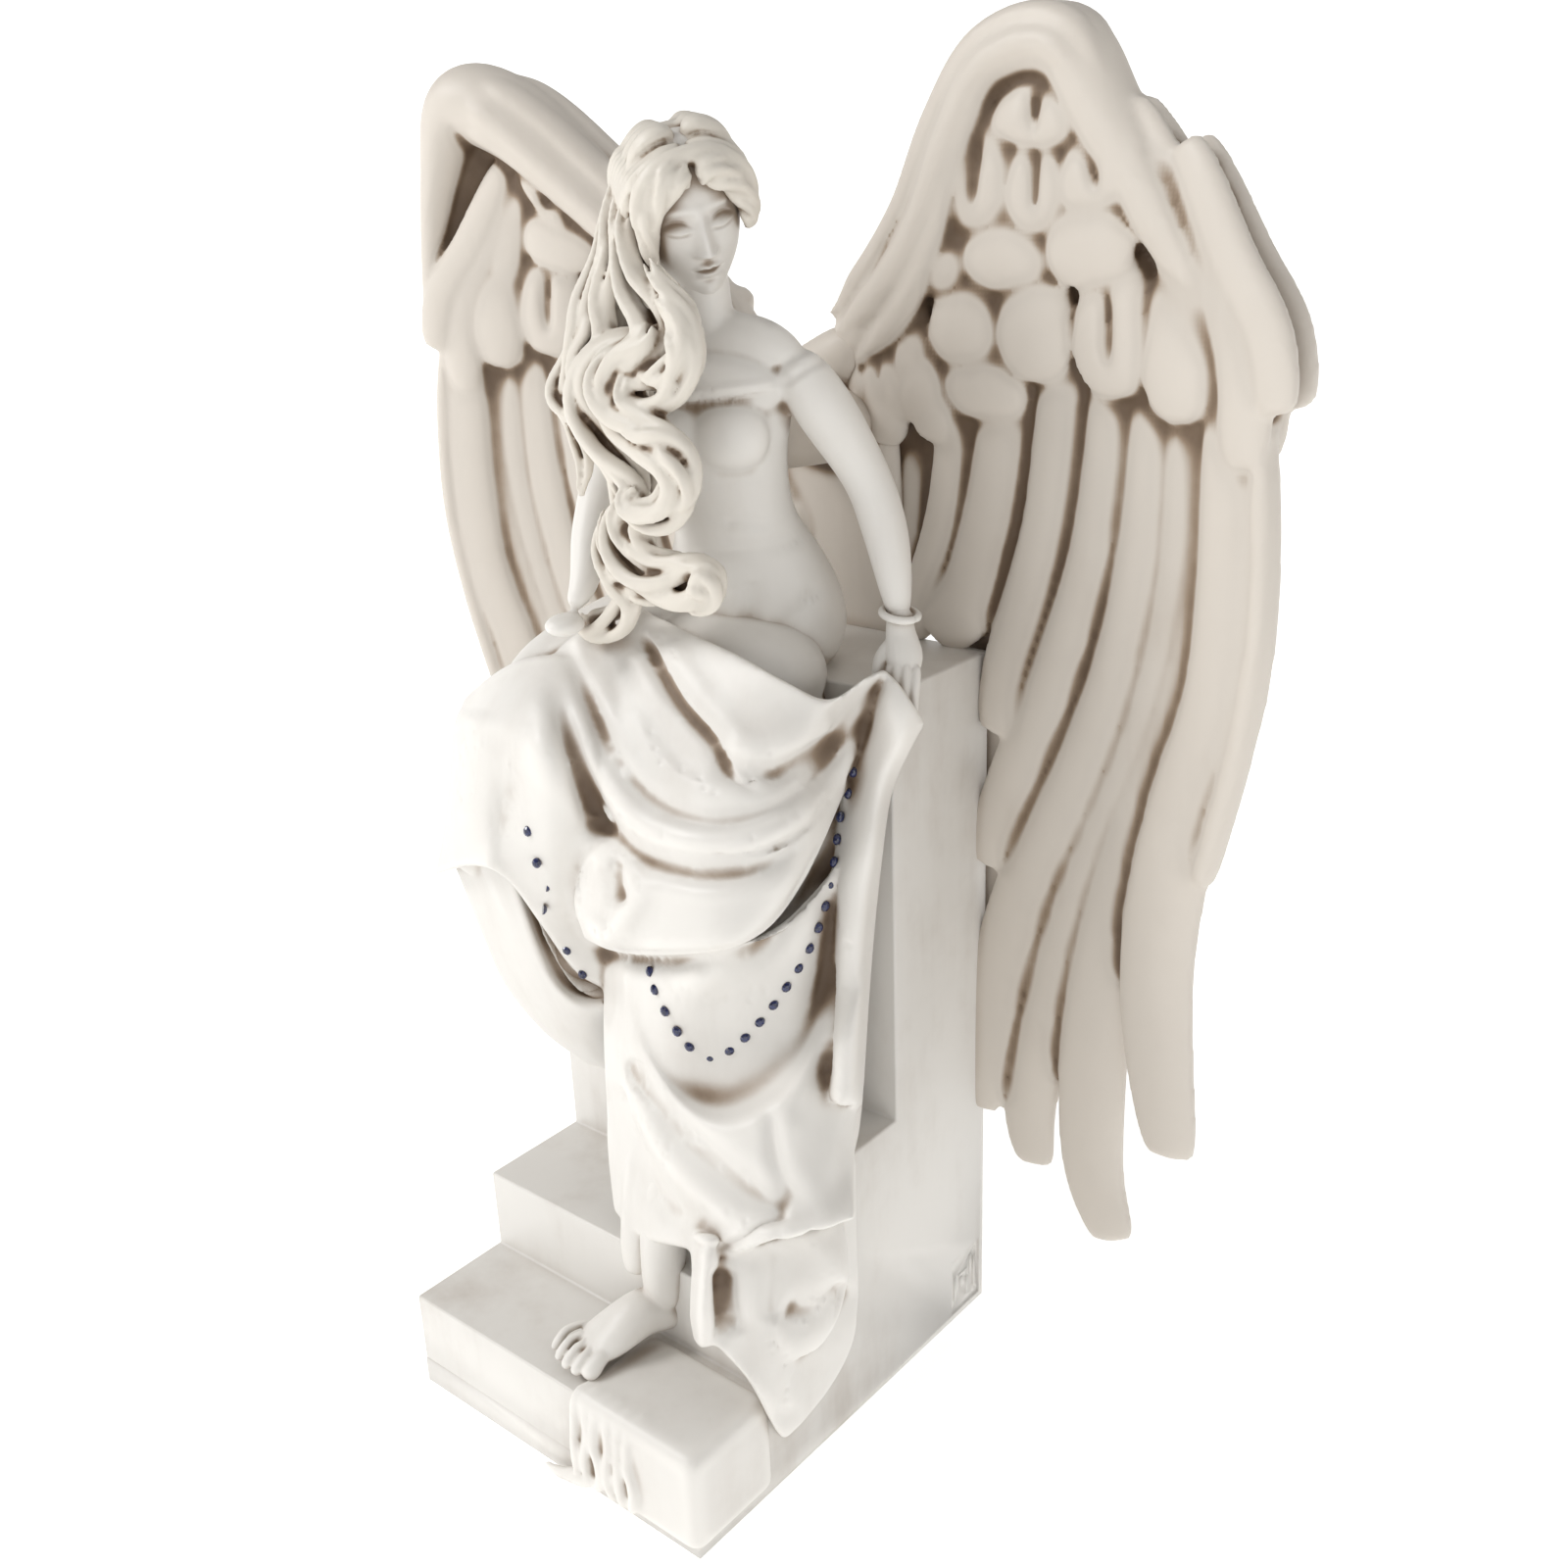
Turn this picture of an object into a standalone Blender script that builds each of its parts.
"""Angel figurine of cast resin: a winged woman in draped cloth, seated on the tall end of a stepped
plinth, with small blue stones glued along the drapery. Metres, +Z up, front towards -Y."""

import math

import bmesh
import bpy
import numpy as np
from mathutils import Matrix, Vector
from mathutils.bvhtree import BVHTree

# Plinth: levels that climb from the front to the seat.
PLINTH_WIDTH = 0.114
PLINTH_DEPTH = 0.138
STEP_ONE_HEIGHT = 0.032
STEP_TWO_HEIGHT = 0.058
LEDGE_HEIGHT = 0.090
SEAT_HEIGHT = 0.220
STEP_ONE_TREAD = 0.033
STEP_TWO_TREAD = 0.036
LEDGE_TREAD = 0.023
EDGE_ROUNDING = 0.0008

# Figure: its rise above the seat, and how finely the cast form is kept.
RISE_ABOVE_SEAT = 0.180
CASTING_CELL = 1.5
CASTING_TRIANGLES = 7500

# Stones: low oval cabochons, glued on with a thin bed of glue.
STONE_WIDTH = 0.0026
STONE_LENGTH = 0.0032
STONE_HEIGHT = 0.0012
GLUE_GAP = 0.0004

# The figure is sculpted in millimetres on a grid that fits a plinth of these sizes.
GRID_WIDTH, GRID_DEPTH, GRID_RISE = 114.0, 138.0, 180.0
GRID_LEVELS = (0.0, 32.0, 58.0, 90.0, 220.0)

RESIN = (0.80, 0.77, 0.72)
STONE_BLUE = (0.02, 0.03, 0.13)


def placed(points):
    """Real places, in metres, of points on the sculptor's grid: each plinth level keeps its own height."""
    points = np.atleast_2d(np.asarray(points, float))
    levels = (0.0, STEP_ONE_HEIGHT, STEP_TWO_HEIGHT, LEDGE_HEIGHT, SEAT_HEIGHT)
    height = np.interp(points[:, 2], GRID_LEVELS, levels)
    height += np.maximum(points[:, 2] - GRID_LEVELS[-1], 0) * RISE_ABOVE_SEAT / GRID_RISE
    return np.stack(
        [
            points[:, 0] * PLINTH_WIDTH / GRID_WIDTH,
            points[:, 1] * PLINTH_DEPTH / GRID_DEPTH,
            height,
        ],
        axis=1,
    )


def unit(vectors):
    vectors = np.asarray(vectors, float)
    return vectors / np.maximum(np.linalg.norm(vectors, axis=-1, keepdims=True), 1e-9)


def along(values, share):
    """Values spread evenly along a form, read smoothly at each share of its length from 0 to 1."""
    values = np.asarray(values, float)
    flat = values.ndim == 1
    if flat:
        values = values[:, None]
    last = len(values) - 1
    if last == 0:
        out = np.repeat(values, len(share), axis=0)
        return out[:, 0] if flat else out
    place = np.clip(np.asarray(share, float), 0, 1) * last
    cell = np.minimum(place.astype(int), last - 1)
    f = (place - cell)[:, None]
    ends = np.vstack([2 * values[0] - values[1], values, 2 * values[-1] - values[-2]])
    a, b, c, d = (ends[cell + k] for k in range(4))
    out = 0.5 * (2 * b + (c - a) * f + (2 * a - 5 * b + 4 * c - d) * f**2 + (3 * b - a - 3 * c + d) * f**3)
    return out[:, 0] if flat else out


def ball_template(sides, rings, made={}):
    """The places and faces of a sphere of radius 1, kept so that each size is made only once."""
    if (sides, rings) not in made:
        sphere = bmesh.new()
        bmesh.ops.create_uvsphere(sphere, u_segments=sides, v_segments=rings, radius=1.0)
        places = np.array([v.co for v in sphere.verts])
        made[sides, rings] = places, [[v.index for v in face.verts] for face in sphere.faces]
        sphere.free()
    return made[sides, rings]


def loft(clay, line, wide, deep, facing=(0, -1, 0), sides=14, rings=18, blunt=2.6, strands=0, combing=0.12):
    """A closed form along a line: a sphere drawn out so that its half-width and half-depth follow the lists.
    Its depth lies along facing, blunt sets how square its ends are, and strands comb grooves along it."""
    sphere, faces = ball_template(sides, rings)
    polar = np.arccos(np.clip(sphere[:, 2], -1, 1))
    turn = np.arctan2(sphere[:, 1], sphere[:, 0])
    share = 0.5 * polar / math.pi + 0.25 * (1 - np.cos(polar))
    swell = np.clip(1 - np.abs(2 * share - 1) ** blunt, 0, 1) ** (1 / blunt)
    centre = along(line, share)
    step = 0.01
    tangent = unit(along(line, share + step) - along(line, share - step))
    front = np.asarray(facing, float)
    front = along(front if front.ndim == 2 else front[None], share)
    front = unit(front - (front * tangent).sum(1, keepdims=True) * tangent)
    side = np.cross(tangent, front)
    comb = 1 + combing * np.cos(strands * turn) if strands else 1.0
    across = (along(wide, share) * swell * comb * np.cos(turn))[:, None]
    out = (along(deep, share) * swell * comb * np.sin(turn))[:, None]
    clay.append((centre + side * across + front * out, faces))


def ball(clay, centre, radii, turn=None, sides=16, rings=12):
    """An ellipsoid with its radii along its own axes, turned by a rotation matrix."""
    sphere, faces = ball_template(sides, rings)
    places = sphere * np.asarray(radii, float)
    if turn is not None:
        places = places @ np.array(turn).T
    clay.append((places + np.asarray(centre, float), faces))


def slab(clay, low, high, rounding, segments=3):
    """A block between two corners with every edge rounded."""
    block = bmesh.new()
    low, high = Vector(low), Vector(high)
    place = Matrix.Translation((low + high) / 2) @ Matrix.Diagonal((*(high - low), 1.0))
    bmesh.ops.create_cube(block, size=1.0, matrix=place)
    bmesh.ops.bevel(block, geom=block.edges, offset=rounding, segments=segments, profile=0.5, affect="EDGES")
    block.verts.index_update()
    places = np.array([v.co for v in block.verts])
    clay.append((places, [[v.index for v in face.verts] for face in block.faces]))
    block.free()


# The body.


CHEST_TURN = Matrix.Rotation(math.radians(20), 3, "Z")


def torso(clay):
    lean = (0.34, -0.94, 0.0)
    spine = [(9, 27, 216), (10, 26, 232), (11, 20, 250), (12, 15, 264), (11, 11, 282), (12, 11, 296),
             (13, 11, 308)]
    loft(clay, spine, [24, 26, 21, 16, 18.5, 19.5, 12.5], [20, 20, 16.5, 12.6, 13, 11.5, 7.5], lean, 24,
         26, 4.0)
    loft(clay, [(-8, 2, 303), (4, 7, 307), (14, 10, 309), (24, 14, 308), (34, 18, 303)], [7], [7], (0, 0, 1),
         16, 16, 3.0)
    ball(clay, (13.5, 8, 299), (20, 9.6, 9.5), CHEST_TURN)
    for centre in ((21.5, 3.6, 287), (7.5, -1.4, 287)):
        ball(clay, centre, (9.2, 8, 8.8), CHEST_TURN)
    loft(clay, [(13, 12, 300), (13, 9, 312), (13.5, 6, 326)], [9, 6.2, 6.4], [8.5, 6.2, 6.6], lean, 14, 12,
         6.0)


def left_arm(clay):
    """It reaches down and back to the corner of the seat."""
    arm = [(31, 16.5, 305), (38, 22, 292), (45, 29, 275), (50, 30, 262), (54, 28.5, 250), (57, 27, 238)]
    loft(clay, arm, [8.4, 7.8, 6.3, 6, 5, 3.7], [8.4, 7.8, 6.5, 6, 4.6, 3.4], (0.6, -0.8, 0), 16, 22, 4.0)
    loft(clay, [(57, 27, 240), (59.5, 25.5, 232), (61, 23, 225)], [3.4, 5.0, 4.4], [3.0, 3.2, 2.8],
         (0.7, -0.6, 0.3), 14, 12, 3.0)
    knuckles = ((57.5, 20.6, 226.5), (59.6, 20, 226), (61.8, 20.8, 225.5), (63.6, 22.8, 225))
    for number, (x, y, z) in enumerate(knuckles):
        reach = 11.5 - abs(number - 2) * 1.3
        finger = [(x, y + 2.4, z + 3.4), (x + 0.8, y - 0.4, z - reach * 0.35), (x + 0.1, y + 0.6, z - reach)]
        loft(clay, finger, [1.7, 1.6, 1.3], [1.7, 1.6, 1.3], (0.7, -0.7, 0), 10, 12, 3.0)
    loft(clay, [(56, 25, 233), (54.5, 21.5, 227), (55.5, 19.5, 221)], [2.2, 1.9, 1.5], [2.2, 1.9, 1.5],
         (0.7, -0.7, 0), 10, 12, 3.0)


def bracelet(clay):
    turns = np.linspace(0, 2 * math.pi, 15)
    band = [(57 + 4.6 * math.cos(a), 27 + 4.6 * math.sin(a), 240.5 - 0.8 * math.cos(a)) for a in turns]
    loft(clay, band, [1.1], [1.1], (0, 0, 1), 10, 48, 12.0)


def right_arm(clay):
    """It hangs behind the hair, the hand lying on the raised thigh."""
    arm = [(-6, 3, 302), (-13, 1, 288), (-19, -1, 273), (-18, -8, 260), (-14, -16, 249), (-13, -22, 243)]
    loft(clay, arm, [8, 7.4, 6.2, 5.6, 4.2, 3.4], [8, 7.4, 6.2, 5.6, 4.2, 3.0], (0.3, -0.9, 0), 14, 18, 3.6)
    ball(clay, (-13, -25, 239.5), (5, 6, 3))


def head_place(forward, left, up):
    """A point of the head, from its middle along its own axes: it looks down to the figure's left."""
    face = Vector((0.80, -0.53, -0.28)).normalized()
    crown = Vector((-0.10, -0.02, 1.0))
    crown = (crown - crown.dot(face) * face).normalized()
    cheek = crown.cross(face)
    return Vector((13.0, 3.0, 340.0)) + face * forward + cheek * left + crown * up


def head_turn():
    origin = head_place(0, 0, 0)
    axes = [head_place(*axis) - origin for axis in ((1, 0, 0), (0, 1, 0), (0, 0, 1))]
    return Matrix(axes).transposed()


def head(clay):
    turn = head_turn()
    spot = head_place
    looking = tuple(turn.col[0])
    ball(clay, spot(-2.0, 0, 5), (16.5, 13.2, 14.5), turn)
    loft(clay, [spot(3, 0, 8), spot(4.2, 0, 0), spot(4.0, 0, -8), spot(5.6, 0, -15), spot(7.4, 0, -18.6)],
         [11.6, 11.6, 10.4, 7.4, 4.2], [10.4, 10.8, 9.8, 7.6, 4.6], looking, 20, 20, 3.2)
    loft(clay, [spot(13.6, 0, 3.6), spot(15.6, 0, -1.2), spot(17.4, 0, -4.6), spot(15.0, 0, -6.0)],
         [1.3, 1.5, 2.4, 1.6], [1.6, 1.8, 1.8, 1.2], looking, 12, 12, 2.6)
    for side in (-1, 1):
        loft(clay, [spot(14.6, 1.4 * side, 4.4), spot(13.8, 5.2 * side, 5.0), spot(10.8, 9.0 * side, 3.4)],
             [1.0, 1.2, 1.0], [1.2, 1.3, 1.0], looking, 10, 10)
        ball(clay, spot(11.9, 5.2 * side, 0.4), (2.9, 3.5, 2.5), turn)
        loft(clay, [spot(13.4, 3.9 * side, -10.1), spot(14.9, 0.9 * side, -9.5), spot(15.2, 0, -9.8)],
             [0.9, 1.2, 1.1], [0.9, 1.2, 1.2], looking, 10, 10)
        loft(clay, [spot(13.4, 3.6 * side, -10.5), spot(14.6, 1.6 * side, -11.7), spot(14.9, 0, -11.9)],
             [0.8, 1.1, 1.2], [0.9, 1.3, 1.3], looking, 10, 10)
    ball(clay, spot(11.6, 0, -16.6), (3.4, 4.0, 3.2), turn)


# The hair.


def lock(clay, line, wide, deep, facing, waves=0.0, swing=0.0, strands=6, rings=40, start=0.0):
    """A lock of hair: its line swings from side to side as it falls, and its end curls thin."""
    share = np.linspace(0, 1, 24)
    centre = along(line, share)
    tangent = unit(np.gradient(centre, axis=0))
    side = np.cross(tangent, unit(facing))
    phase = 2 * math.pi * (waves * share + start)
    centre = centre + side * (swing * np.minimum(1, share * 3) * np.sin(phase))[:, None]
    loft(clay, centre, wide, deep, facing, 20, rings, 2.4, strands, 0.10)


def crown_hair(clay):
    """Hair parted over the brow and combed round the head to both sides, with a smooth band across it."""
    spot = head_place
    turn = head_turn()
    ball(clay, spot(-4.5, 0, 6.5), (16.5, 15.0, 15.8), turn)
    for side in (-1, 1):
        for number in range(4):
            back = 4.5 * number
            line = [spot(10.5 - back, 0.6 * side, 18.6 - 0.25 * number), spot(11.5 - back, 7 * side, 17.0),
                    spot(9.0 - back, 13.4 * side, 8.5), spot(2.0 - back * 0.8, 15.4 * side, -1.0)]
            loft(clay, line, [1.8, 3.2, 3.4, 2.6], [1.6, 2.2, 2.4, 2.0], tuple(turn.col[2]), 14, 20, 2.4, 4)
    band = [spot(4.5, 15.6 * math.sin(a), 5.5 + 16.6 * math.cos(a)) for a in np.linspace(-1.75, 1.75, 9)]
    loft(clay, band, [1.9], [1.3], tuple(turn.col[0]), 12, 30, 8.0)
    for side in (-1, 1):
        bang = [spot(14.2, 1.2 * side, 13.4), spot(14.0, 6.2 * side, 12.0), spot(10.6, 11.6 * side, 6.0),
                spot(8.0, 13.2 * side, -3.0)]
        loft(clay, bang, [1.4, 2.6, 2.6, 1.4], [1.6, 2.2, 2.2, 1.4], tuple(turn.col[0]), 14, 20, 2.4, 4, 0.12)


def falling_hair(clay):
    """The long hair: it falls over the right shoulder to the lap, and a thinner part down the back."""
    view = (0.55, -0.83, 0.0)
    falls = [
        ([(4, -8, 350), (-6, -10, 330), (-12, -12, 308), (-16, -14, 290), (-8, -17, 270)], 6.0, 0.0, 2.0),
        ([(-2, -3, 348), (-12, -4, 328), (-18, -6, 306), (-20, -9, 284), (-14, -13, 262)], 6.0, 0.2, 2.2),
        ([(6, -11, 344), (2, -15, 324), (0, -17, 306), (-8, -19, 290), (-4, -20, 276)], 5.0, 0.4, 2.0),
        ([(9, -11, 336), (10, -14, 320), (7, -16, 306), (2, -18, 298), (6, -19, 290)], 4.2, 0.6, 1.8),
        ([(-6, -12, 300), (-4, -19, 288), (4, -21, 280), (8, -20, 268), (0, -19, 262)], 5.0, 0.1, 1.5),
        ([(-14, -12, 290), (-10, -18, 276), (-2, -20, 266), (4, -19, 257), (-2, -18, 250)], 5.0, 0.5, 1.5),
        ([(-10, -12, 272), (-6, -15, 262), (2, -16, 254), (12, -13, 250), (20, -11, 252)], 4.6, 0.3, 1.6),
        ([(-12, -10, 268), (-11, -14, 256), (-8, -16, 246), (-12, -16, 239), (-18, -16, 236)], 4.4, 0.7, 1.4),
        ([(-3, 4, 350), (-14, 6, 326), (-20, 6, 302), (-21, 2, 280), (-16, -4, 258)], 6.5, 0.35, 1.6),
    ]
    for line, width, start, waves in falls:
        wide = [width * 0.8, width, width * 1.05, width * 0.9, width * 0.5]
        deep = [width * 0.55, width * 0.62, width * 0.62, width * 0.55, width * 0.4]
        lock(clay, line, wide, deep, view, waves, 3.0, 5, 40, start)
    for number in range(5):
        x = -8 + 9.5 * number
        back = [(-5 + 1.5 * number, 14, 344), (0.35 * x - 6, 18, 324), (0.6 * x - 7, 22, 304),
                (0.85 * x, 26, 284), (x + 5, 30, 262), (x + 8, 34, 238)]
        lock(clay, back, [4, 4.5, 5, 6, 5.5, 3], [4, 4.5, 5, 5, 4, 3], (0.2, 1, 0), 1.8, 2.0, 5, 36,
             0.2 * number)


# The legs and the cloth over them.


def legs(clay):
    """The right thigh raised, the left one hanging with its shin under the long cloth."""
    loft(clay, [(-4, 24, 234), (-18, 8, 230), (-34, -10, 222), (-46, -22, 210)], [18, 18, 17, 15],
         [18, 17, 16, 15], (0, 0, 1), 20, 18, 3.4)
    loft(clay, [(20, 22, 230), (21, 8, 205), (20, -8, 175), (20, -18, 152)], [19, 19, 17, 15],
         [18, 17, 15, 14], (0.6, -0.8, 0), 20, 18, 3.4)
    loft(clay, [(20, -19, 156), (17, -25, 128), (12, -31, 96), (8, -36, 66), (6, -39, 50)],
         [14, 14, 11, 8, 5.5], [13, 12, 10, 7.5, 5.5], (0.5, -0.8, 0), 18, 18, 3.4)


def foot(clay):
    """The right foot, bare, its toes at the edge of the first step."""
    loft(clay, [(11, -36, 70), (9, -37, 60), (7.5, -38.5, 50), (7.5, -40, 40)], [7.5, 6.6, 6.2, 6.0],
         [7, 6.4, 6.6, 6.4], (0.3, -1, 0), 16, 14, 3.4)
    loft(clay, [(8.5, -36, 38), (6.6, -45, 42), (4.2, -53, 39), (2.2, -60, 35.2)], [5.0, 6.0, 7.6, 8.6],
         [6.0, 6.6, 4.8, 2.8], (0, 0, 1), 16, 16, 3.4)
    for number in range(5):
        x = 9.8 - 3.55 * number
        y = -66.2 + 1.25 * number + 0.35 * number * (number > 2)
        size = 2.5 - 0.2 * number + 0.25 * (number == 0)
        toe = [(x, y + 9, 37.6), (x - 0.1, y + 5, 37.2), (x - 0.3, y + 1.6, 35.0), (x - 0.3, y, 34.0)]
        round_toe = [size * 0.85, size * 0.9, size, size * 0.85]
        loft(clay, toe, round_toe, round_toe, (0, 0, 1), 10, 10, 2.8)


def knee_cloth(clay):
    """Cloth hanging from the raised knee: its outer corner kicks out, and its hem climbs back to the lap."""
    shin = [(-43, -17, 214), (-45, -21, 190), (-45, -21, 165), (-40, -16, 135), (-31, -10, 108),
            (-24, -4, 90)]
    loft(clay, shin, [15, 16, 16, 15, 14, 13], [15, 15, 15, 15, 14, 13], (0.4, -0.9, 0), 24, 26, 3.6)
    loft(clay, [(-47, -22, 212), (-52, -27, 195), (-57, -31, 178), (-62, -33, 160)], [14, 14, 13, 10],
         [12, 11, 9, 5], (-0.5, -0.85, 0), 18, 18, 3.4)
    loft(clay, [(-30, -24, 212), (-31, -33, 190), (-34, -37, 168), (-33, -36, 146)], [14, 16, 15, 11],
         [9, 8, 7, 5], (0.1, -1, 0), 18, 18, 3.4)


def skirt(clay):
    """The long front of the dress, from the lap down to the steps, broad towards the right hand corner."""
    wide_way = (0.64, -0.77, 0.0)
    loft(clay, [(24, 12, 222), (29, 3, 190), (32, -3, 158), (34, -7, 125), (36, -13, 95), (37, -20, 66)],
         [25, 26, 27, 27, 27, 24], [14, 15, 16, 16, 17, 16], wide_way, 24, 26, 5.0)
    loft(clay, [(0, 10, 222), (-2, 6, 180), (-4, 4, 140), (-4, 4, 96)], [34, 36, 34, 30], [16, 18, 18, 16],
         (0, -1, 0), 20, 16, 5.0)
    loft(clay, [(41, -25, 84), (46, -33, 60), (48, -42, 38)], [17, 17, 15], [14, 12, 8], wide_way, 20, 14,
         3.4)


def lap_folds(clay):
    """The over-skirt, caught up in the left hand: rolls that hang between the raised knee and the hand."""
    out = (0.5, -0.85, 0.0)
    low_roll = [(-29, -20, 230), (-16, -28, 208), (6, -30, 190), (27, -27, 184), (46, -12, 192), (55, 5, 209),
                (57, 19, 223)]
    loft(clay, low_roll, [5, 5.5, 6, 6.5, 6, 4.6, 3], [4.5, 4.5, 5, 5.5, 5, 4, 2.6], out, 14, 34, 2.6)
    high_roll = [(-22, -12, 234), (-6, -23, 216), (10, -25, 203), (28, -20, 198), (45, -6, 204),
                 (54, 10, 216), (57, 21, 224)]
    loft(clay, high_roll, [5, 5.5, 6, 6.5, 6, 4, 2.5], [5, 5, 5, 5, 4.5, 3.5, 2.4], out, 14, 34, 2.6)
    loft(clay, [(-10, 0, 234), (6, -12, 224), (20, -12, 216), (38, -2, 215), (52, 14, 222)], [5, 6, 6, 5, 3],
         [5, 6, 6, 4.5, 3], out, 14, 26, 2.6)
    loft(clay, [(-8, -32, 206), (-2, -36, 185), (0, -37, 165), (2, -38, 156)], [6, 8, 8, 5], [5, 6, 6, 4],
         out, 14, 18, 2.6)
    loft(clay, [(1, -37, 158), (18, -38, 158), (34, -28, 165), (46, -10, 181), (52, 4, 198)], [5, 7, 7, 6, 4],
         [4, 5, 5, 4.5, 3], out, 14, 26, 2.6)
    loft(clay, [(4, -30, 180), (18, -31, 172), (34, -22, 176)], [12, 14, 10], [5, 7, 5], out, 16, 14, 2.6)


def hand_fall(clay):
    """Cloth falling from the hand over the ledge and the steps to a point on the plinth's side."""
    out = (0.7, -0.7, 0.0)
    edge = [(57, 20, 224), (55, 18, 205), (53, 14, 180), (53, 9, 145), (55, 2, 108), (57, -5, 78),
            (59, -12, 50), (60, -22, 28), (58.5, -35, 20)]
    loft(clay, edge, [3, 5, 6, 6, 6, 6, 6, 6, 3], [3, 4.5, 5, 5, 5, 5, 5.5, 5, 3], out, 14, 40, 2.6)
    loft(clay, [(52, 17, 222), (49, 14, 195), (46, 8, 165), (46, 2, 130), (48, -4, 100)], [3, 5, 6, 6, 5],
         [3, 5, 5, 5, 4], out, 14, 24, 2.6)
    loft(clay, [(37, -40, 84), (35, -47, 62), (31, -47, 44), (29, -44, 35)], [5, 3.4, 3, 3.4],
         [4, 3, 2.6, 2.6], out, 12, 16, 2.6)
    loft(clay, [(40, -36, 78), (48, -42, 60), (55, -42, 46), (60, -36, 34)], [7, 8, 8, 5], [5, 6, 6, 4], out,
         14, 18, 2.6)
    loft(clay, [(46, -40, 56), (52, -48, 42), (58, -50, 31), (61, -42, 22)], [5, 6, 5, 3], [4, 4, 4, 3], out,
         12, 16, 2.6)


def step_cloth(clay):
    """Cloth lying over the right front corner of the first step."""
    slab(clay, (12, -71.2, 3), (58.6, -38, 34), 3.6)


# The wings: one curved sheet each, mirrored, and spread a little wider at the right wing's wrist.

WING_BACK = 74.0
WING_CUP = 26.0
WING_REACH = 150.0

# Long feathers, from the body outwards: where each tip lies (across, height), its half-width, and how far it
# sways out and in again on its way down. Their roots stand closer together towards the wing's outer edge.
LONG_FEATHERS = (
    (30, 222, 8, 0), (42, 224, 10, 0), (62, 198, 9, 0), (58, 156, 9, 0), (56, 76, 10.5, 0), (76, 58, 9, 0),
    (105, 48, 11, 8), (128, 88, 11, 6), (133, 176, 3.5, 3),
)
FIRST_ROOT, LAST_ROOT, ROOT_HEIGHT, CROWDING = 44.0, 141.0, 306.0, 0.65
SWEEP_TOP, SWEEP_FOOT = 275.0, 86.0
FEATHER_POINTS = 8

# Short feathers, row by row from the lowest: the tips' height, the first and last place across, how many,
# half-width and length.
COVERT_ROWS = (
    (286, 54, 84, 2, 12, 17), (296, 52, 119, 4, 11, 24), (316, 44, 112, 4, 11, 22), (332, 55, 95, 3, 10, 22),
    (351, 75, 75, 1, 11, 24),
)
OUTER_COVERTS = 3

# The wing's leading edge, from the shoulder over the top to its outer end, and its half-width and half-depth.
LEFT_ARM = (
    (6, 300), (24, 314), (38, 333), (48, 355), (60, 370), (80, 372), (96, 354), (120, 326), (144, 301),
)
RIGHT_ARM = (
    (10, 270), (28, 290), (46, 310), (64, 328), (84, 344), (108, 363), (126, 366), (136, 346), (146, 306),
)
ARM_WIDTHS = (11, 11, 10, 9.5, 9, 9.5, 9, 7.5, 3.5)
ARM_DEPTHS = (9, 10, 10, 9.5, 9.5, 9, 8, 6.5, 3.5)
RIGHT_ARM_WIDTHS = (8, 8, 8, 9, 11, 12, 11.5, 7, 3.5)
RIGHT_ARM_DEPTHS = (9, 10, 10, 11, 12, 13, 12, 8, 3.5)


def eased(value):
    """0 up to 0 and 1 from 1 on, with a soft rise between."""
    value = np.clip(value, 0, 1)
    return value * value * (3 - 2 * value)


def feather_line(number):
    """A long feather's middle: it falls straight from its root, then sweeps in towards the body."""
    across, tip, _, sway = LONG_FEATHERS[number]
    root = FIRST_ROOT + (LAST_ROOT - FIRST_ROOT) * (number / (len(LONG_FEATHERS) - 1)) ** CROWDING
    down = np.linspace(0, 1, FEATHER_POINTS)
    height = ROOT_HEIGHT + (tip - ROOT_HEIGHT) * down
    depth = SWEEP_TOP - SWEEP_FOOT
    sweep = eased((SWEEP_TOP - height) / depth) / eased((SWEEP_TOP - tip) / depth)
    wave = sway * (np.sin(2 * math.pi * down) - np.sin(math.pi * down) ** 2)
    return list(zip(root + (across - root) * sweep + wave, height))


def outer_covert(number):
    """One of the coverts that run along the wing's outer edge, bulging outwards on their way down."""
    down = np.linspace(0, 1, 4)
    bulge = 8 * np.sin(math.pi * down)
    first, last = (100 + 9 * number, 358 - 9 * number), (127 + 10.5 * number, 291)
    return list(zip(first[0] + (last[0] - first[0]) * down + bulge, first[1] + (last[1] - first[1]) * down))


def wing_spot(side, across, height, lift=0.0):
    """A point of the wing's sheet, which cups forward towards its outer edge; lift is towards the front."""
    return (side * across, WING_BACK - WING_CUP * (across / WING_REACH) ** 2 - lift, height)


def feather(clay, side, line, widths, thick, lifts, tilt=0.10, blunt=3.0):
    """One feather along points of the sheet, turned a little so that its edge stands over the next."""
    spots = [wing_spot(side, x, z, lift) for (x, z), lift in zip(line, lifts)]
    lean = [(side * (tilt - 2 * WING_CUP * x / WING_REACH**2), -1, 0) for x, _ in line]
    loft(clay, spots, widths, [thick, thick, thick * 0.9], lean, 14, 22, blunt)


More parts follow.
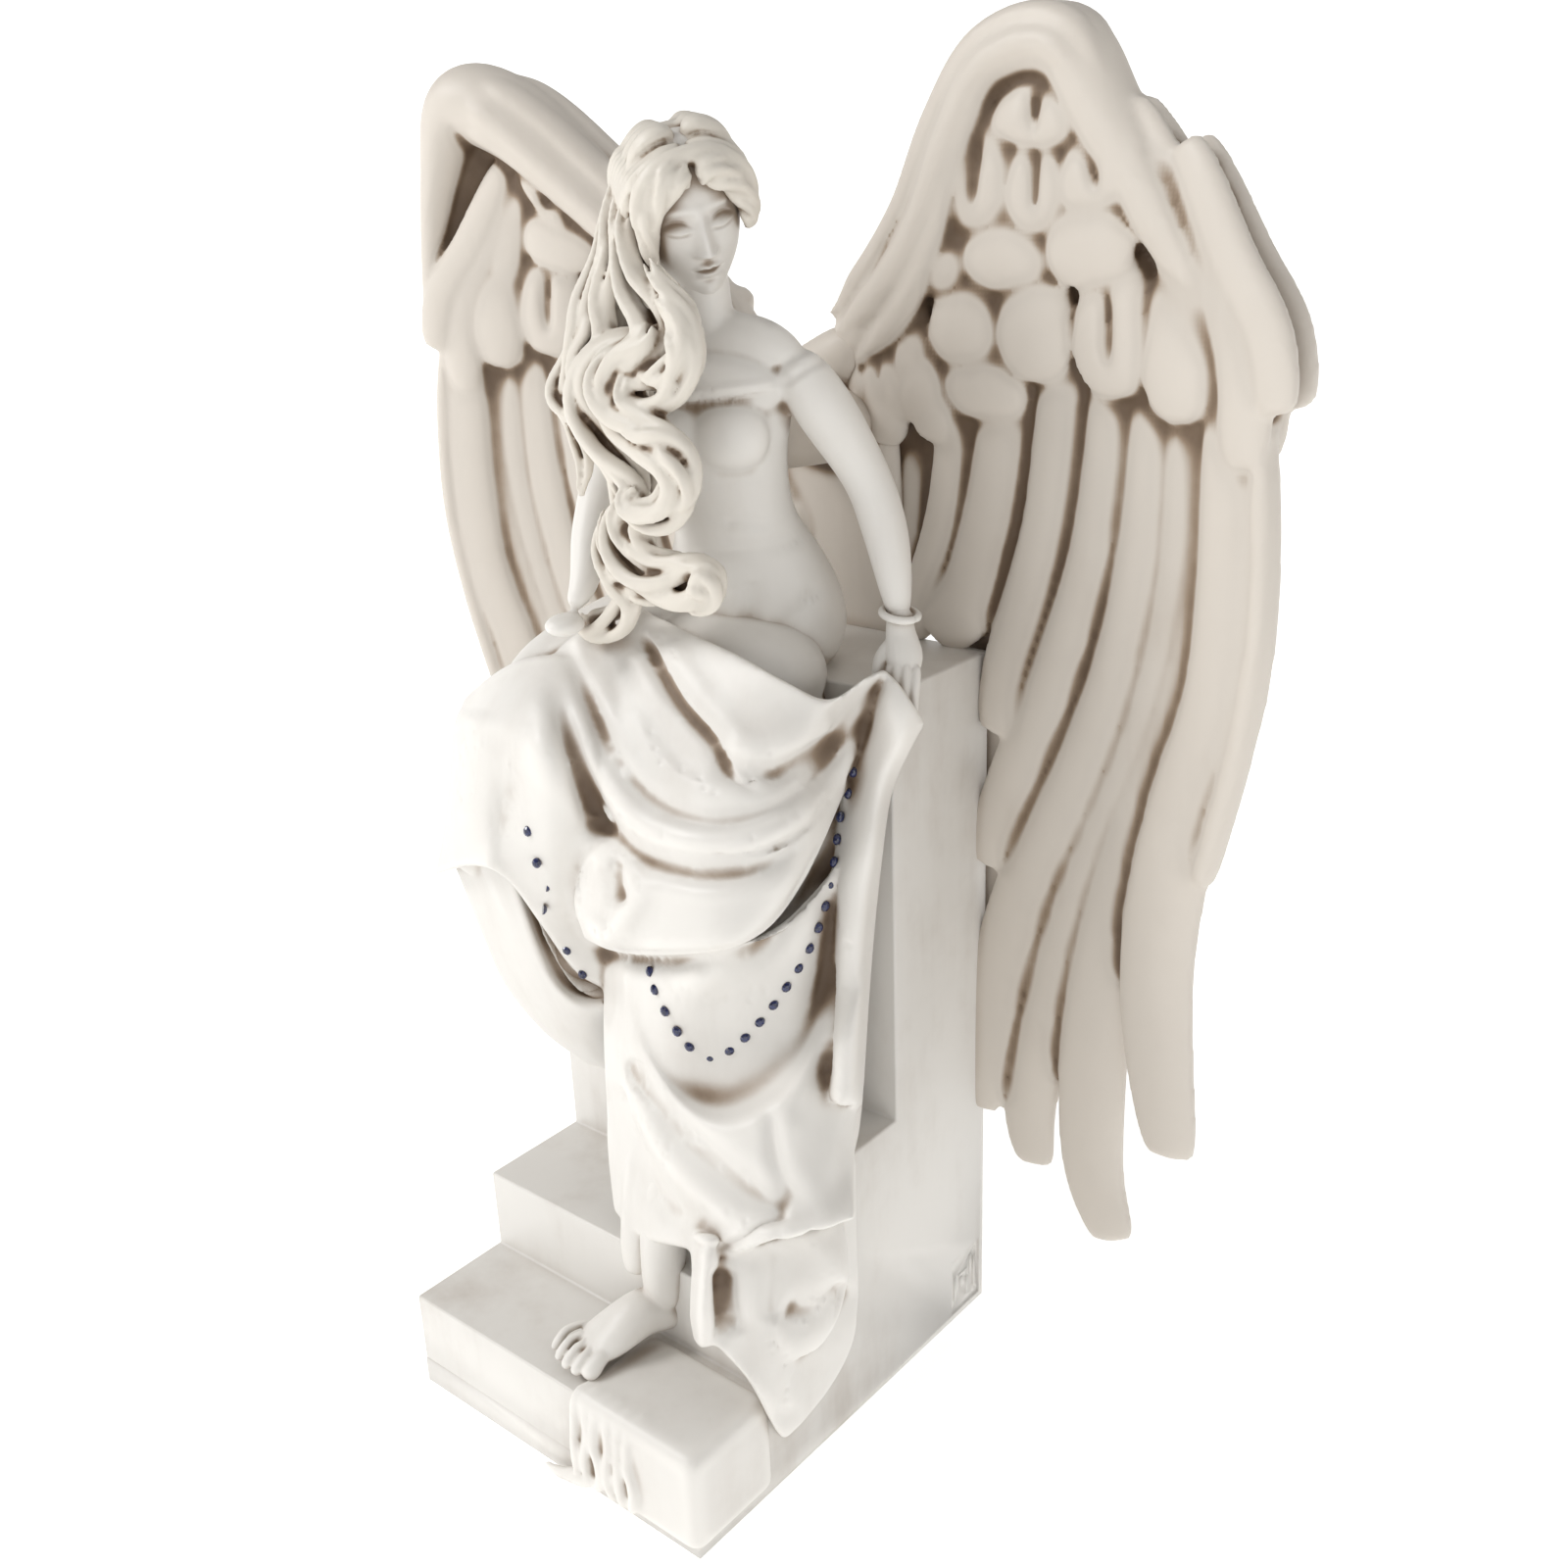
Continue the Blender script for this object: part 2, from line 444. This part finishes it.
def wing(clay, side, arm, arm_widths, arm_depths):
    """A rolled leading edge, a sheet below it, the long feathers fanned out, and coverts on both faces."""
    roll = [wing_spot(side, x, z, 2.0) for x, z in arm]
    loft(clay, roll, arm_widths, arm_depths, (0, -1, 0), 20, 40, 4.0)
    ridge = np.array(arm)
    for across in np.linspace(8, 136, 12):
        top = np.interp(across, ridge[:, 0], ridge[:, 1])
        bottom = 222.0
        line = [(across, top), (across, (top + bottom) / 2), (across, bottom)]
        feather(clay, side, line, [9.5], 2.4, [0, 0, 0], 0.0, 8.0)
    feather(clay, side, [(60, 300), (54, 220), (52, 150), (56, 92)], [14, 12, 10, 5], 1.8, [-2] * 4, 0.0, 6.0)
    for number in range(len(LONG_FEATHERS)):
        line, width = feather_line(number), LONG_FEATHERS[number][2]
        lift = 1.6 - 0.4 * number + (2.4 if number >= 7 else 0.0)
        against_block = 7.0 if number < 5 else 0.0
        lifts = lift + against_block * np.linspace(0, 1, len(line)) ** 2
        feather(clay, side, line, [width * 0.8, width, width, width * 1.05, width], 2.6, lifts, 0.10, 7.0)
    for face in (1, -1):
        for tip, first, last, count, width, length in COVERT_ROWS:
            for across in np.linspace(first, last, count):
                top = min(tip + length, np.interp(across, ridge[:, 0], ridge[:, 1]) - 3)
                end = min(tip, top - 14)
                line = [(across, top), (across, (top + end) / 2), (across, end)]
                feather(clay, side, line, [width], 2.3, [face * 1.5, face * 3.4, face * 5.0], 0.03, 3.4)
        for number in range(OUTER_COVERTS):
            lifts = [face * 2.0, face * 3.0, face * 3.6, face * 3.6]
            feather(clay, side, outer_covert(number), [9 - 1.75 * number], 2.3, lifts, 0.06, 4.0)
        for number in range(7):
            x, z = 26 + 4.2 * number, 262 + 5.5 * number
            top = min(z + 48, np.interp(x - 6, ridge[:, 0], ridge[:, 1]))
            lifts = [face * 3, face * 4, face * 4.5]
            feather(clay, side, [(x - 6, top), (x - 4, (top + z) / 2), (x, z)], [3.6], 2.2, lifts)


def wings(clay):
    wing(clay, 1, LEFT_ARM, ARM_WIDTHS, ARM_DEPTHS)
    wing(clay, -1, RIGHT_ARM, RIGHT_ARM_WIDTHS, RIGHT_ARM_DEPTHS)
    bridge = [wing_spot(1, x, z, 4) for x, z in ((-26, 286), (-8, 288), (14, 304))]
    loft(clay, bridge, [9, 12, 10], [9])
    loft(clay, [(12, 30, 284), (8, 50, 280), (4, 70, 280)], [16, 18, 20], [13, 13, 14], (0, 0, 1), 18, 14, 5)
    loft(clay, [(0, 70, 286), (0, 72, 250), (0, 74, 210)], [26], [5], (0, -1, 0), 18, 14, 7.0)


# From clay to cast pieces.


def kept(name, block):
    mesh = bpy.data.meshes.new(name)
    block.to_mesh(mesh)
    block.free()
    thing = bpy.data.objects.new(name, mesh)
    bpy.context.scene.collection.objects.link(thing)
    return thing


def settled(thing):
    """The piece with its modifiers applied."""
    graph = bpy.context.evaluated_depsgraph_get()
    graph.update()
    mesh = bpy.data.meshes.new_from_object(thing.evaluated_get(graph))
    thing.modifiers.clear()
    thing.data = mesh
    return thing


def largest_shell(thing):
    """Leaves only the outer skin: cavities closed in by the fusing are dropped."""
    clay = bmesh.new()
    clay.from_mesh(thing.data)
    clay.verts.ensure_lookup_table()
    seen = [False] * len(clay.verts)
    shells = []
    for start in clay.verts:
        if seen[start.index]:
            continue
        seen[start.index] = True
        shell, front = [], [start]
        while front:
            vertex = front.pop()
            shell.append(vertex)
            for edge in vertex.link_edges:
                other = edge.other_vert(vertex)
                if not seen[other.index]:
                    seen[other.index] = True
                    front.append(other)
        shells.append(shell)
    shells.sort(key=len)
    bmesh.ops.delete(clay, geom=[v for shell in shells[:-1] for v in shell], context="VERTS")
    clay.to_mesh(thing.data)
    clay.free()


def fused(thing, cell, passes):
    remesh = thing.modifiers.new("fuse", "REMESH")
    remesh.mode = "VOXEL"
    remesh.voxel_size = cell
    ease = thing.modifiers.new("ease", "SMOOTH")
    ease.factor = 0.5
    ease.iterations = passes
    settled(thing)
    largest_shell(thing)


def thinned(thing, triangles):
    count = sum(len(face.vertices) - 2 for face in thing.data.polygons)
    fewer = thing.modifiers.new("fewer", "DECIMATE")
    fewer.decimate_type = "COLLAPSE"
    fewer.ratio = triangles / count
    settled(thing)


def scaled_to_plinth(thing):
    for vertex, co in zip(thing.data.vertices, placed([v.co for v in thing.data.vertices])):
        vertex.co = co


def plinth():
    """The stepped block, drawn as one side profile and pushed out to its width."""
    front = -PLINTH_DEPTH / 2
    treads = (STEP_ONE_TREAD, STEP_TWO_TREAD, LEDGE_TREAD)
    heights = (STEP_ONE_HEIGHT, STEP_TWO_HEIGHT, LEDGE_HEIGHT, SEAT_HEIGHT)
    corners = [(front, 0.0)]
    y = front
    for height, tread in zip(heights, (*treads, PLINTH_DEPTH - sum(treads))):
        corners.append((y, height))
        y += tread
        corners.append((y, height))
    corners.append((-front, 0.0))
    block = bmesh.new()
    outline = [block.verts.new((-PLINTH_WIDTH / 2, y, z)) for y, z in corners]
    face = block.faces.new(outline)
    pushed = bmesh.ops.extrude_face_region(block, geom=[face])["geom"]
    moved = [item for item in pushed if isinstance(item, bmesh.types.BMVert)]
    bmesh.ops.translate(block, verts=moved, vec=(PLINTH_WIDTH, 0, 0))
    bmesh.ops.recalc_face_normals(block, faces=block.faces)
    edges = [edge for edge in block.edges if max(v.co.z for v in edge.verts) > 0]
    bmesh.ops.bevel(block, geom=edges, offset=EDGE_ROUNDING, segments=1, affect="EDGES")
    return kept("plinth_block", block)


def joined(thing, other):
    union = thing.modifiers.new("joined", "BOOLEAN")
    union.operation = "UNION"
    union.solver = "EXACT"
    union.object = other
    settled(thing)
    bpy.data.objects.remove(other)


def material(name, colour, roughness, coat=0.0):
    made = bpy.data.materials.new(name)
    made.use_nodes = True
    shader = made.node_tree.nodes["Principled BSDF"]
    shader.inputs["Base Color"].default_value = (*colour, 1.0)
    shader.inputs["Roughness"].default_value = roughness
    shader.inputs["Coat Weight"].default_value = coat
    return made


# The stones: how many each chain has, and the line that it follows over the cloth.
LAP_CHAIN_COUNT = 21
LAP_CHAIN = ((53, 11, 201), (52, -5, 160), (34, -28, 127), (15, -33, 150))
KNEE_CHAIN_COUNT = 7
KNEE_CHAIN = ((-20, -38, 184), (-23, -32, 158), (-24, -20, 131))
CHAINS = ((LAP_CHAIN_COUNT, LAP_CHAIN), (KNEE_CHAIN_COUNT, KNEE_CHAIN))
STONE_SIDES = 10


def evenly(line, count):
    """Places at even distances along a smooth line."""
    fine = along(line, np.linspace(0, 1, 200))
    gone = np.concatenate([[0.0], np.cumsum(np.linalg.norm(np.diff(fine, axis=0), axis=1))])
    return np.stack([np.interp(np.linspace(0, gone[-1], count), gone, fine[:, k]) for k in range(3)], axis=1)
STONE_SIDES = 10


def stone(name, seat, out, down):
    """A low oval cabochon with its flat back at the seat, facing out, its length along down."""
    cup = bmesh.new()
    bmesh.ops.create_uvsphere(cup, u_segments=STONE_SIDES, v_segments=6, radius=1.0)
    bmesh.ops.delete(cup, geom=[v for v in cup.verts if v.co.z < -0.01], context="VERTS")
    bmesh.ops.holes_fill(cup, edges=cup.edges, sides=0)
    across = down.cross(out).normalized()
    axes = Matrix((across, out.cross(across), out)).transposed().to_4x4()
    shape = Matrix.Diagonal((STONE_WIDTH / 2, STONE_LENGTH / 2, STONE_HEIGHT, 1.0))
    bmesh.ops.transform(cup, verts=cup.verts, matrix=Matrix.Translation(seat) @ axes @ shape)
    bmesh.ops.recalc_face_normals(cup, faces=cup.faces)
    return kept(name, cup)


def stone_seat(surface, spot):
    """Where a stone sits: the middle of its back, clear of the cloth by the glue under its whole outline."""
    hit, out, _, _ = surface.find_nearest(spot)
    reach = STONE_LENGTH / 2 * 1.05
    turns = np.linspace(0, 2 * math.pi, 13)[:-1]
    for _ in range(2):
        across = out.orthogonal().normalized()
        ring = [Matrix.Rotation(turn, 3, out) @ across * reach for turn in turns]
        found = [surface.ray_cast(hit + offset + out * reach, -out, 4 * reach) for offset in ring]
        tops = [place for place in found if place[0] is not None]
        out = (out + sum((place[1] for place in tops), Vector())).normalized()
    highest = max([(place[0] - hit).dot(out) for place in tops] + [0.0])
    return hit + out * (highest + GLUE_GAP), out


def glued_stones(figure):
    surface = BVHTree.FromPolygons(
        [v.co for v in figure.data.vertices], [list(face.vertices) for face in figure.data.polygons]
    )
    made = []
    for count, line in CHAINS:
        spots = placed(evenly(line, count))
        for index, spot in enumerate(spots):
            seat, out = stone_seat(surface, Vector(spot))
            after, before = spots[min(index + 1, count - 1)], spots[max(index - 1, 0)]
            down = Vector(after - before)
            down = (down - down.dot(out) * out).normalized()
            made.append(stone(f"stone_{len(made) + 1:02d}", seat, out, down))
    return made


CLAY_FORMS = (
    torso, left_arm, bracelet, right_arm, head, crown_hair, falling_hair, legs, foot, knee_cloth, skirt,
    lap_folds, hand_fall, step_cloth, wings,
)


def modelled(name):
    """All the forms in one mesh, not yet fused."""
    clay = []
    for form in CLAY_FORMS:
        form(clay)
    places, faces = [], []
    count = 0
    for spots, corners in clay:
        places.extend(spots.tolist())
        faces.extend([[index + count for index in face] for face in corners])
        count += len(spots)
    mesh = bpy.data.meshes.new(name)
    mesh.from_pydata(places, [], faces)
    block = bmesh.new()
    block.from_mesh(mesh)
    bmesh.ops.recalc_face_normals(block, faces=block.faces)
    return kept(name, block)


def figurine():
    figure = modelled("angel_figurine")
    fused(figure, CASTING_CELL, 3)
    thinned(figure, CASTING_TRIANGLES)
    scaled_to_plinth(figure)
    joined(figure, plinth())
    return figure


def main():
    for thing in list(bpy.data.objects):
        bpy.data.objects.remove(thing)
    figure = figurine()
    figure.data.materials.clear()
    figure.data.materials.append(material("antiqued_resin", RESIN, 0.5))
    blue = material("blue_stone", STONE_BLUE, 0.1, 1.0)
    for gem in glued_stones(figure):
        gem.data.materials.append(blue)


main()
